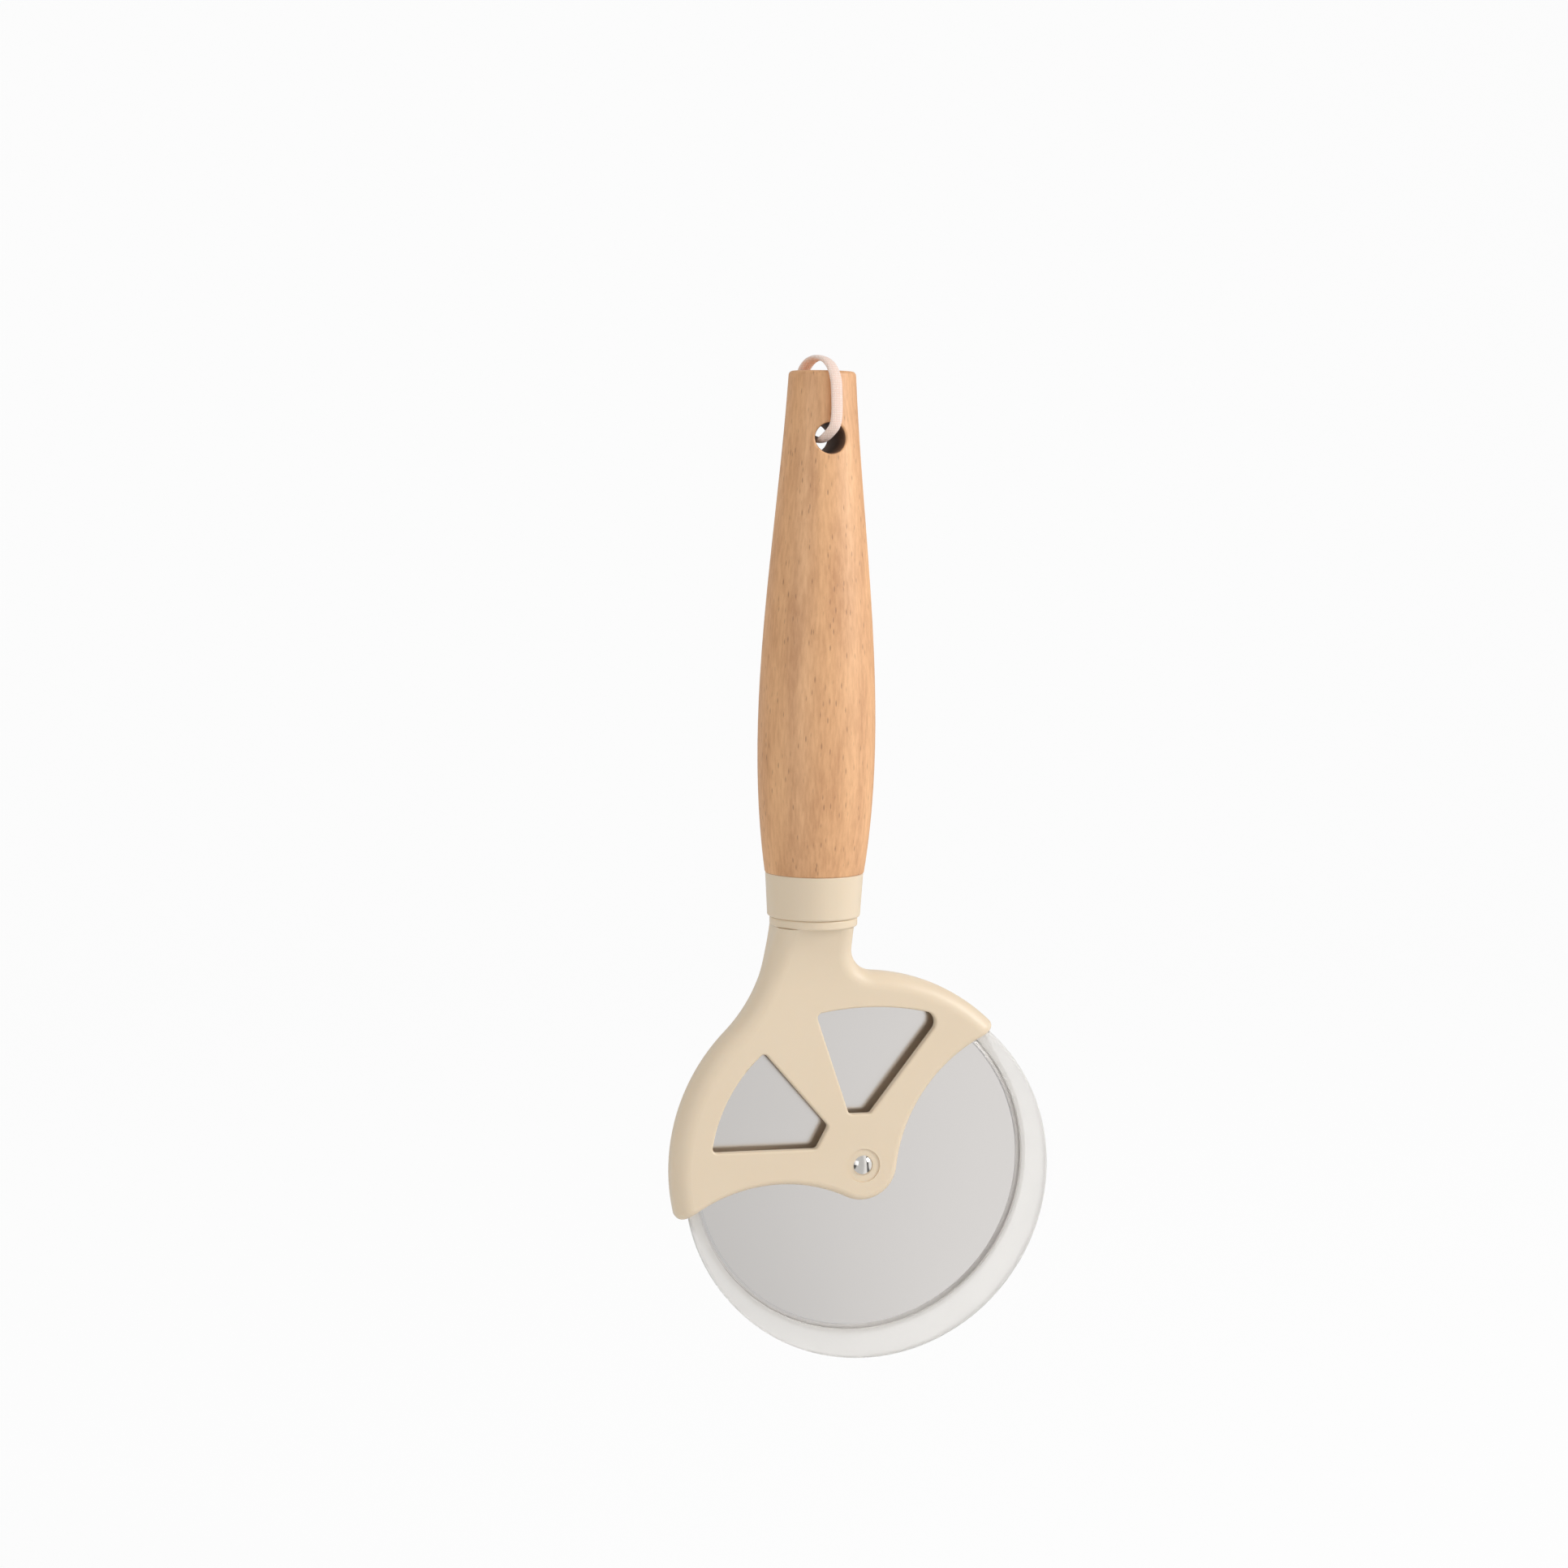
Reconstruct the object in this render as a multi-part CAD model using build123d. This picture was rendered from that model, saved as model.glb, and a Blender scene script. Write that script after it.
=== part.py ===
from build123d import *
from math import cos, radians, sin, sqrt
import os

# Pizza cutter wheel, hung upright by the hole near the top of its handle.
# Millimetres. The origin is the centre of that hole, +Z is up along the handle,
# +X is to the right, and the front of the tool faces -Y.

# Wheel
wheel_diameter = 80.0
wheel_thickness = 1.0
wheel_edge_thickness = 0.16
wheel_grind_width = 2.0
wheel_hole_radius = 5.0

# Wheel bush, a rolled eyelet that turns on the axle sleeve
bush_flange_radius = 6.6
bush_flange_thickness = 0.3
bush_lip_rounding = 0.12
running_clearance = 0.05

# Axle: a sleeve between the frame halves, held by a rivet
sleeve_radius = 3.0
sleeve_end_depth = 2.0
rivet_radius = 1.5
rivet_clearance = 0.05
rivet_head_radius = 2.3
rivet_head_height = 1.0
rivet_tail_radius = 2.4
rivet_tail_height = 0.7
rivet_tail_rounding = 0.3
rivet_washer_radius = 3.6
rivet_washer_thickness = 0.6
spacer_radius = 5.8
spacer_thickness = 0.25
axial_play = 0.05

# Frame, two moulded halves that meet on the plane of the wheel
frame_thickness = 9.4
frame_rim_reach = 4.5
frame_wheel_gap = 1.3
frame_hub_radius = 8.2
frame_wall = 1.8
frame_parting_land = 0.7
frame_mouth_rounding = 1.5
frame_core_margin = 6.2
frame_hub_boss_radius = 6.4
mouth_left_radius = 36.0
mouth_left_angle = -115.8
mouth_right_radius = 37.0
mouth_right_angle = -5.3

# Ring recess round the rivet head on the front face
recess_radius = 3.9
recess_depth = 0.3

# Cut-outs of the frame halves, seen from the front. Their corners are shares of the
# rim's radius, from the wheel's axis to the right and up
cutout_edge_rounding = 0.5
cutout_corner_rounding = 1.1
cutout_wide_rounding = 2.6
left_cutout_margin = 8.6
left_cutout_top_angle = 131.4
left_cutout_shares = {
    "inner_low": (-0.250, 0.095),
    "inner_high": (-0.188, 0.212),
}
right_cutout_shares = {
    "left_top": (-0.264, 0.794),
    "crown": (0.050, 0.823),
    "right_top": (0.415, 0.768),
    "right_low": (0.034, 0.270),
    "left_low": (-0.081, 0.270),
}

# Neck of the frame, from the plate up to the neck ring
neck_top_radius = 10.4
neck_left_reach = 9.3
neck_left_lean = 14.0
neck_right_reach = 8.4
neck_half_depth = 8.0
neck_rise = 10.8
neck_flare_start = 14.0
shoulder_left_rounding = 34.0
shoulder_right_rounding = 6.0
axle_offset = 11.6

# Screws that hold the two halves together beside the neck
frame_screw_spread = 6.0
frame_screw_below_neck = 10.7
frame_screw_radius = 1.2
frame_screw_head_radius = 2.1
frame_screw_head_height = 1.2
frame_screw_sink = 0.3
frame_screw_tip_wall = 2.0
frame_screw_slot_width = 0.5
frame_screw_slot_depth = 0.5

# Stud that ties the frame to the handle, with its nut and washer in the neck
stud_radius = 2.0
stud_clearance = 0.1
stud_top_reach = 28.0
stud_nut_overhang = 1.2
nut_width = 7.0
nut_height = 3.2
nut_pocket_clearance = 0.1
nut_below_neck = 3.0
washer_radius = 3.4
washer_thickness = 0.8

# Neck ring and ferrule between the frame and the wood
neck_ring_height = 2.1
neck_ring_inset = 0.4
neck_ring_rounding = 0.5
ferrule_length = 10.0
ferrule_top_inset = 0.1
ferrule_bottom_overhang = 0.15
ferrule_rounding = 0.6
ferrule_seam_rounding = 0.25
ferrule_spigot_radius = 7.0
ferrule_spigot_length = 4.0
spigot_clearance = 0.1

# Wooden handle
handle_seam_drop = 97.8
handle_top_rise = 14.9
handle_seam_radius = 11.25
handle_seam_rounding = 0.35
handle_belly_radius = 13.3
handle_belly_height = 29.0
handle_waist_radius = 11.2
handle_waist_height = 69.0
handle_top_radius = 7.5
handle_top_rounding = 1.0
hang_hole_radius = 3.4
hang_hole_rounding = 0.5

# Threaded insert in the wood
insert_radius = 3.5
insert_length = 18.0
insert_depth = 6.0
insert_bore_overrun = 4.0

# Strap looped through the hang hole and over the top end
strap_width = 2.8
strap_thickness = 1.2
strap_gap = 0.35
strap_hole_gap = 0.6
strap_arch_rise = 2.3
strap_bend_rounding = 0.8

# Slip-on blade guard
guard_half_width = 1.65
guard_face_gap = 0.15
guard_edge_gap = 0.35
guard_lip_overlap = 0.8
guard_rim_width = 3.2
guard_offset = 3.9
guard_offset_angle = -50.0
guard_frame_gap = 0.5
guard_slide_angle = -60.0
guard_edge_rounding = 0.7

# Overrun of cuts past the faces that they open, and how near counts as touching
overrun = 1.0
match_tolerance = 0.01

# Places worked out from the sizes above
wheel_radius = wheel_diameter / 2
half_wheel = wheel_thickness / 2
half_frame = frame_thickness / 2
frame_rim_rounding = half_frame - frame_parting_land
frame_rim_radius = wheel_radius + frame_rim_reach
left_cutout_radius = frame_rim_radius - left_cutout_margin
neck_to_axle = frame_rim_radius + neck_rise
seam_z = -handle_seam_drop
ring_top_z = seam_z - ferrule_length
neck_top_z = ring_top_z - neck_ring_height
nut_low_z = neck_top_z - nut_below_neck - washer_thickness - nut_height
axle_z = neck_top_z - neck_to_axle
handle_cone_share = handle_top_rise / (handle_top_rise + handle_seam_drop - handle_waist_height)
handle_level_radius = handle_top_radius + (handle_waist_radius - handle_top_radius) * handle_cone_share
half_bush = half_wheel + bush_flange_thickness
half_pocket = half_bush + spacer_thickness + axial_play
pocket_radius = wheel_radius + frame_wheel_gap
half_sleeve = half_frame - sleeve_end_depth
head_plane = Plane(origin=(axle_offset, 0, axle_z), x_dir=(1, 0, 0), z_dir=(0, -1, 0))
head_place = Location((axle_offset, 0, axle_z))


def polar(radius, angle):
    """A point of a plane at a radius and an angle in degrees."""
    return (radius * cos(radians(angle)), radius * sin(radians(angle)))


def angle_of(point):
    """The angle in degrees of a point seen from the wheel's axis."""
    return Vector(*point).get_signed_angle(Vector(1, 0), Vector(0, 0, -1))


def across(radius, low_y, high_y, centre=(0, 0)):
    """A cylinder along Y between two depths, about a point of the head's front view."""
    x, z = centre
    middle = (axle_offset + x, (low_y + high_y) / 2, axle_z + z)
    return Location(middle, (90, 0, 0)) * Cylinder(radius, high_y - low_y)


def upright(radius, low_z, high_z):
    """A cylinder along Z between two heights on the handle's axis."""
    return Location((0, 0, (low_z + high_z) / 2)) * Cylinder(radius, high_z - low_z)


def nearest_vertex(face, point):
    """The vertex of a flat face that lies at a point."""
    return face.vertices().sort_by_distance(Vector(*point))[0]


def turned(points, rounding=0, rounded=()):
    """A solid turned about Y from (radius, y) points, some of them rounded."""
    face = make_face(Polyline(*points, close=True))
    for corner in rounded:
        face = fillet(nearest_vertex(face, corner), rounding)
    return head_place * revolve(face, Axis.Y)


def make_wheel():
    """The steel disc with both sides ground to the cutting edge."""
    half_edge = wheel_edge_thickness / 2
    grind_radius = wheel_radius - wheel_grind_width
    return turned([
        (wheel_hole_radius, -half_wheel),
        (grind_radius, -half_wheel),
        (wheel_radius, -half_edge),
        (wheel_radius, half_edge),
        (grind_radius, half_wheel),
        (wheel_hole_radius, half_wheel),
    ])


def make_wheel_bush():
    """The eyelet rolled over both faces of the wheel, with the running bore."""
    bore = sleeve_radius + running_clearance
    lips = [(bush_flange_radius, -half_bush), (bush_flange_radius, half_bush)]
    return turned([
        (bore, -half_bush),
        lips[0],
        (bush_flange_radius, -half_wheel),
        (wheel_hole_radius, -half_wheel),
        (wheel_hole_radius, half_wheel),
        (bush_flange_radius, half_wheel),
        lips[1],
        (bore, half_bush),
    ], bush_lip_rounding, lips)


def make_axle_sleeve():
    """The tube that the wheel turns on, seated in both halves of the frame."""
    return across(sleeve_radius, -half_sleeve, half_sleeve) - across(
        rivet_radius + rivet_clearance, -half_frame, half_frame)


def make_axle_rivet():
    """The rivet through the sleeve: a low dome at the front, a set tail at the back."""
    seat = -half_frame + recess_depth
    tail_seat = half_frame
    dome_radius = (rivet_head_radius ** 2 + rivet_head_height ** 2) / (2 * rivet_head_height)
    dome = across(rivet_head_radius, seat - rivet_head_height, seat)
    ball_y = seat - rivet_head_height + dome_radius
    dome &= Location((axle_offset, ball_y, axle_z)) * Sphere(dome_radius)
    shank = across(rivet_radius, seat, tail_seat)
    tail = across(rivet_tail_radius, tail_seat, tail_seat + rivet_tail_height)
    tail = fillet(tail.edges().group_by(Axis.Y)[-1], rivet_tail_rounding)
    return dome + shank + tail


def make_rivet_washer():
    """The washer under the rivet's tail, flush in the back of the frame."""
    return across(rivet_washer_radius, half_frame - rivet_washer_thickness, half_frame) - across(
        rivet_radius + rivet_clearance, 0, half_frame + overrun)


def make_spacer(side):
    """One thin washer between a face of the bush and the hub of the frame."""
    near = side * (half_pocket - spacer_thickness)
    far = side * half_pocket
    low, high = sorted((near, far))
    return across(spacer_radius, low, high) - across(
        sleeve_radius + running_clearance, low - overrun, high + overrun)


def circle_crossing(radius, centre, other_radius, side):
    """The point where a circle about the wheel's axis meets another, on one side."""
    distance = sqrt(centre[0] ** 2 + centre[1] ** 2)
    along = (radius ** 2 - other_radius ** 2 + distance ** 2) / (2 * distance)
    aside = side * sqrt(radius ** 2 - along ** 2)
    unit = (centre[0] / distance, centre[1] / distance)
    return (along * unit[0] - aside * unit[1], along * unit[1] + aside * unit[0])


def arc_between(centre, radius, start, end):
    """An arc about a centre, counter-clockwise from one point to another."""
    first = angle_of((start[0] - centre[0], start[1] - centre[1]))
    last = angle_of((end[0] - centre[0], end[1] - centre[1]))
    sweep = (last - first) % 360
    return CenterArc(centre, radius, first, sweep)


def rim_point_below(start, lean):
    """Where a line down from a point, leaning to the left by an angle, meets the rim."""
    down = Vector(-sin(radians(lean)), -cos(radians(lean)))
    along = -Vector(*start).dot(down)
    aside = Vector(*start).length ** 2 - along ** 2
    point = Vector(*start) + down * (along - sqrt(frame_rim_radius ** 2 - aside))
    return (point.X, point.Y)


def head_outline():
    """The front view of the head as a full disc with its shoulders and neck."""
    left, right = -axle_offset - neck_left_reach, -axle_offset + neck_right_reach
    root_left = rim_point_below((left, neck_to_axle), neck_left_lean)
    root_right = rim_point_below((right, neck_to_axle), 0)
    face = make_face([
        Line(root_right, (right, neck_to_axle)),
        Line((right, neck_to_axle), (left, neck_to_axle)),
        Line((left, neck_to_axle), root_left),
        arc_between((0, 0), frame_rim_radius, root_left, root_right),
    ])
    face = fillet(nearest_vertex(face, root_left), shoulder_left_rounding)
    return fillet(nearest_vertex(face, root_right), shoulder_right_rounding)


def mouth_outline(reach=frame_rim_radius):
    """The front view of the mouth that bares the wheel: two arcs, the hub and an outer arc."""
    left = polar(frame_hub_radius + mouth_left_radius, mouth_left_angle)
    right = polar(frame_hub_radius + mouth_right_radius, mouth_right_angle)
    left_tip = circle_crossing(reach, left, mouth_left_radius, -1)
    right_tip = circle_crossing(reach, right, mouth_right_radius, 1)
    hub_left = polar(frame_hub_radius, mouth_left_angle)
    hub_right = polar(frame_hub_radius, mouth_right_angle)
    return make_face([
        arc_between(left, mouth_left_radius, hub_left, left_tip),
        arc_between((0, 0), frame_hub_radius, hub_left, hub_right),
        arc_between(right, mouth_right_radius, right_tip, hub_right),
        arc_between((0, 0), reach, left_tip, right_tip),
    ])


def cutout_points(shares):
    """The corners of a cut-out by name, from their shares of the rim's radius."""
    return {name: (x * frame_rim_radius, z * frame_rim_radius) for name, (x, z) in shares.items()}


def left_cutout():
    """The left opening: an arc along the rim, a floor and two edges at the spoke."""
    at = cutout_points(left_cutout_shares)
    floor = at["inner_low"][1]
    low = (-sqrt(left_cutout_radius ** 2 - floor ** 2), floor)
    top = polar(left_cutout_radius, left_cutout_top_angle)
    face = make_face([
        Line(low, at["inner_low"]),
        Line(at["inner_low"], at["inner_high"]),
        Line(at["inner_high"], top),
        arc_between((0, 0), left_cutout_radius, top, low),
    ])
    return fillet(face.vertices(), cutout_corner_rounding)


def right_cutout():
    """The upper right opening: a crowned top over two edges that close in below."""
    at = cutout_points(right_cutout_shares)
    face = make_face([
        ThreePointArc(at["left_top"], at["crown"], at["right_top"]),
        Line(at["right_top"], at["right_low"]),
        Line(at["right_low"], at["left_low"]),
        Line(at["left_low"], at["left_top"]),
    ])
    face = fillet(nearest_vertex(face, at["right_top"]), cutout_wide_rounding)
    for name in ("left_top", "right_low", "left_low"):
        face = fillet(nearest_vertex(face, at[name]), cutout_corner_rounding)
    return face


def front_prism(face, low_y, high_y):
    """A face of the head's front view, made solid between two depths."""
    placed = head_plane.offset(-high_y) * face
    return extrude(placed, amount=high_y - low_y, dir=(0, -1, 0))


def flare_cutter():
    """What lies in front of the plate and of the flare that widens it up to the neck ring."""
    start_z = neck_top_z - neck_flare_start
    rise = neck_half_depth - half_frame
    flare_radius = (rise ** 2 + neck_flare_start ** 2) / (2 * rise)
    below_z = axle_z - frame_rim_radius - overrun
    far_y = -neck_half_depth - frame_thickness
    end_angle = Vector(flare_radius - rise, neck_flare_start).get_angle(Vector(1, 0))
    # The arc's centre is in front of the plate, level with the start of the flare
    arc = CenterArc((-half_frame - flare_radius, start_z), flare_radius, 0, end_angle)
    top = arc.position_at(1)
    edges = [
        Line((-half_frame, below_z), (-half_frame, start_z)),
        arc,
        Line((top.X, top.Y), (top.X, top.Y + overrun)),
        Line((top.X, top.Y + overrun), (far_y, top.Y + overrun)),
        Line((far_y, top.Y + overrun), (far_y, below_z)),
        Line((far_y, below_z), (-half_frame, below_z)),
    ]
    width = 2 * frame_rim_radius + axle_offset
    return extrude(Plane.YZ * make_face(edges), amount=width, both=True)


def frame_shell():
    """The front half as a closed form: a pillowed head with its neck, mouth and cut-outs."""
    front_y = -neck_half_depth - overrun
    body = front_prism(head_outline(), front_y, 0) - flare_cutter()
    body = fillet([e for e in body.edges() if is_front_edge(e)], frame_rim_rounding)
    body &= front_prism(head_outline() - mouth_outline(), front_y, 0)
    mouth = [e for e in mouth_outline().edges() if e.position_at(0.5).length < frame_rim_radius]
    body = fillet(front_edges_along(body, mouth), frame_mouth_rounding)
    for face in (left_cutout(), right_cutout()):
        body -= front_prism(face, -half_frame - overrun, overrun)
        body = fillet(front_edges_along(body, face.edges()), cutout_edge_rounding)
    return body


def front_edges_along(body, lines):
    """The edges near the front of a body that run along lines of the head's front view."""
    found = []
    for edge in body.edges() - body.edges().filter_by(Axis.Y):
        middle = edge.position_at(0.5)
        spot = Vertex(middle.X - axle_offset, middle.Z - axle_z, 0)
        if middle.Y < -half_pocket and min(line.distance_to(spot) for line in lines) < match_tolerance:
            found.append(edge)
    return found


def is_front_edge(edge):
    """Whether an edge runs round the front of the plate or up the flare's two sides."""
    box = edge.bounding_box()
    is_behind = box.max.Y > -half_frame + overrun / 2
    is_top = box.min.Z > neck_top_z - overrun / 2
    is_crease = box.size.Z < overrun / 2 and box.min.Z > axle_z + frame_rim_radius - neck_flare_start
    is_plate_crease = is_crease and box.size.X > neck_right_reach
    return not (is_behind or is_top or is_plate_crease)


def core_pocket():
    """The hollow moulded into a half from the inside, clear of its walls and its hub."""
    inner = offset(head_outline() - mouth_outline(), -frame_wall)
    field = Circle(frame_rim_radius - frame_core_margin) & inner
    return field - Circle(frame_hub_boss_radius)


def make_frame_half():
    """The front half with its hub bore, wheel pocket and the space for nut and stud."""
    half = frame_shell()
    half -= across(pocket_radius, -half_pocket, overrun)
    for face in core_pocket().faces():
        half -= front_prism(face, -half_frame + frame_wall, 0)
    half -= across(sleeve_radius, -half_sleeve, 0)
    half -= across(rivet_radius + rivet_clearance, -half_frame - overrun, 0)
    half -= upright(stud_radius + stud_clearance, nut_low_z - stud_nut_overhang, neck_top_z + overrun)
    half -= nut_pocket()
    return half


def nut_pocket():
    """The square space in the neck for the nut and its washer."""
    width = nut_width + 2 * nut_pocket_clearance
    height = nut_height + washer_thickness
    return Location((0, 0, nut_low_z + height / 2)) * Box(width, width, height)


def screw_places():
    """The two frame screws, left and right of the stud, in the head's front view."""
    height = neck_to_axle - frame_screw_below_neck
    return {
        "left": (-axle_offset - frame_screw_spread, height),
        "right": (-axle_offset + frame_screw_spread, height),
    }


def make_frame_front():
    """The front half: the recess for the rivet's head and blind holes for the screws."""
    front = make_frame_half()
    front -= across(recess_radius, -half_frame - overrun, -half_frame + recess_depth)
    for place in screw_places().values():
        front -= across(frame_screw_radius, -half_frame + frame_screw_tip_wall, 0, place)
    return front


def make_frame_back():
    """The back half: the seats of the rivet's washer and of the screw heads."""
    back = mirror(make_frame_half(), Plane.XZ)
    back -= across(rivet_washer_radius, half_frame - rivet_washer_thickness, half_frame + overrun)
    head_seat = half_frame - frame_screw_sink - frame_screw_head_height
    for place in screw_places().values():
        back -= across(frame_screw_radius, 0, half_frame + overrun, place)
        back -= across(frame_screw_head_radius, head_seat, neck_top_radius + overrun, place)
    return back


def make_frame_screw(place):
    """One screw: a flat slotted head in the back half, its shank reaching the front half."""
    head_top = half_frame - frame_screw_sink
    head_seat = head_top - frame_screw_head_height
    screw = across(frame_screw_radius, -half_frame + frame_screw_tip_wall, head_seat, place)
    screw += across(frame_screw_head_radius, head_seat, head_top, place)
    slot = Box(2 * frame_screw_head_radius + overrun, frame_screw_slot_depth, frame_screw_slot_width)
    x, z = place
    centre = (axle_offset + x, head_top - frame_screw_slot_depth / 2, axle_z + z)
    return screw - Location(centre) * slot


def make_tang_stud():
    """The stud from the nut in the neck up into the insert in the wood."""
    return upright(stud_radius, nut_low_z - stud_nut_overhang, seam_z + stud_top_reach)


def make_neck_nut():
    """The square nut held from turning by its pocket in the neck."""
    nut = Location((0, 0, nut_low_z + nut_height / 2)) * Box(nut_width, nut_width, nut_height)
    return nut - upright(stud_radius, nut_low_z - overrun, nut_low_z + nut_height + overrun)


def make_neck_washer():
    """The washer that spreads the nut's pull on the plastic."""
    low = nut_low_z + nut_height
    top = low + washer_thickness
    washer = upright(washer_radius, low, top)
    return washer - upright(stud_radius + stud_clearance, low - overrun, top + overrun)


def make_neck_ring():
    """The ring in the groove between the frame and the ferrule."""
    ring = upright(neck_top_radius - neck_ring_inset, neck_top_z, ring_top_z)
    ring = fillet(ring.edges().filter_by(GeomType.CIRCLE), neck_ring_rounding)
    return ring - upright(stud_radius + stud_clearance, neck_top_z - overrun, ring_top_z + overrun)


def make_ferrule():
    """The tapered collar under the wood, with a spigot that centres it in the handle."""
    cone = Cone(neck_top_radius + ferrule_bottom_overhang,
                handle_seam_radius - ferrule_top_inset, ferrule_length)
    collar = Location((0, 0, (ring_top_z + seam_z) / 2)) * cone
    collar = fillet(collar.edges().group_by(Axis.Z)[0], ferrule_rounding)
    collar = fillet(collar.edges().group_by(Axis.Z)[-1], ferrule_seam_rounding)
    spigot_top = seam_z + ferrule_spigot_length
    collar += upright(ferrule_spigot_radius, ring_top_z + ferrule_rounding, spigot_top)
    return collar - upright(stud_radius + stud_clearance, ring_top_z - overrun, spigot_top + overrun)


def make_tang_insert():
    """The threaded tube glued into the wood."""
    low = seam_z + insert_depth
    tube = upright(insert_radius, low, low + insert_length)
    return tube - upright(stud_radius, low - overrun, low + insert_length + overrun)


def make_handle():
    """The turned wooden handle with its hang hole and the bores for ferrule and insert."""
    profile = Spline(
        (handle_seam_radius, seam_z),
        (handle_belly_radius, seam_z + handle_belly_height),
        (handle_waist_radius, seam_z + handle_waist_height),
        (handle_top_radius, handle_top_rise),
    )
    outline = make_face([
        profile,
        Line((handle_top_radius, handle_top_rise), (0, handle_top_rise)),
        Line((0, handle_top_rise), (0, seam_z)),
        Line((0, seam_z), (handle_seam_radius, seam_z)),
    ])
    wood = revolve(Plane.XZ * outline, Axis.Z)
    wood = fillet(wood.edges().group_by(Axis.Z)[-1], handle_top_rounding)
    wood = fillet(wood.edges().group_by(Axis.Z)[0], handle_seam_rounding)
    hole = Location((0, 0, 0), (90, 0, 0)) * Cylinder(hang_hole_radius, 4 * handle_top_radius)
    wood -= hole
    mouths = [e for e in wood.edges() if abs(e.position_at(0.5).Y) > handle_top_radius / 2
              and e.bounding_box().size.Z < 3 * hang_hole_radius]
    wood = fillet(mouths, hang_hole_rounding)
    wood -= upright(
        ferrule_spigot_radius + spigot_clearance, seam_z - overrun,
        seam_z + ferrule_spigot_length + spigot_clearance)
    insert_top = seam_z + insert_depth + insert_length
    wood -= upright(insert_radius, seam_z - overrun, insert_top)
    stud_bore_top = seam_z + stud_top_reach + insert_bore_overrun
    return wood - upright(stud_radius + stud_clearance, seam_z, stud_bore_top)


def make_hang_strap():
    """The flat strap through the hang hole, closed over the top end of the handle."""
    low_z = hang_hole_radius - strap_hole_gap
    low_y = handle_level_radius + strap_gap
    high_y = handle_top_radius + strap_gap
    crown_z = handle_top_rise + strap_arch_rise
    inner = make_face([
        Line((-low_y, low_z), (low_y, low_z)),
        Line((low_y, low_z), (high_y, handle_top_rise)),
        ThreePointArc((high_y, handle_top_rise), (0, crown_z), (-high_y, handle_top_rise)),
        Line((-high_y, handle_top_rise), (-low_y, low_z)),
    ])
    inner = fillet(inner.vertices(), strap_bend_rounding)
    outer = offset(inner, strap_thickness)
    return extrude(Plane.YZ * (outer - inner), amount=strap_width / 2, both=True)


def make_blade_guard():
    """The channel over the free edge of the wheel: a web and two lips, open to the frame."""
    lip_radius = wheel_radius - guard_lip_overlap
    reach = 4 * wheel_radius
    outer_radius = wheel_radius + guard_rim_width
    field = offset(mouth_outline(outer_radius + guard_offset + overrun), -guard_frame_gap)
    ring = Location(polar(guard_offset, guard_offset_angle)) * Circle(outer_radius)
    face = (ring & field) - Circle(lip_radius)
    guard = front_prism(face.face(), -guard_half_width, guard_half_width)
    outer_edges = [e for e in guard.edges().filter_by(GeomType.CIRCLE)
                   if e.radius > outer_radius - guard_edge_rounding]
    guard = fillet(outer_edges, guard_edge_rounding)
    slot_radius = wheel_radius + guard_edge_gap
    half_slot = half_wheel + guard_face_gap
    channel = across(slot_radius, -half_slot, half_slot)
    mouth = Location((reach / 2, 0, 0)) * Box(reach, 2 * half_slot, 2 * slot_radius)
    turn = Location((0, 0, 0), (0, -(guard_slide_angle + 180), 0))
    return guard - channel - head_place * (turn * mouth)


def make_parts():
    """Every piece of the tool by its node's name."""
    parts = {
        "handle": make_handle(),
        "hang_strap": make_hang_strap(),
        "tang_insert": make_tang_insert(),
        "tang_stud": make_tang_stud(),
        "neck_nut": make_neck_nut(),
        "neck_washer": make_neck_washer(),
        "ferrule": make_ferrule(),
        "neck_ring": make_neck_ring(),
        "frame_front": make_frame_front(),
        "frame_back": make_frame_back(),
        "axle_sleeve": make_axle_sleeve(),
        "axle_rivet": make_axle_rivet(),
        "rivet_washer": make_rivet_washer(),
        "spacer_front": make_spacer(-1),
        "spacer_back": make_spacer(1),
        "wheel": make_wheel(),
        "wheel_bush": make_wheel_bush(),
        "blade_guard": make_blade_guard(),
    }
    for side, place in screw_places().items():
        parts["frame_screw_" + side] = make_frame_screw(place)
    return parts


os.makedirs("parts", exist_ok=True)
for name, shape in make_parts().items():
    export_step(shape, "parts/" + name + ".step")
    print(name, len(shape.solids()), round(shape.volume, 1))
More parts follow.
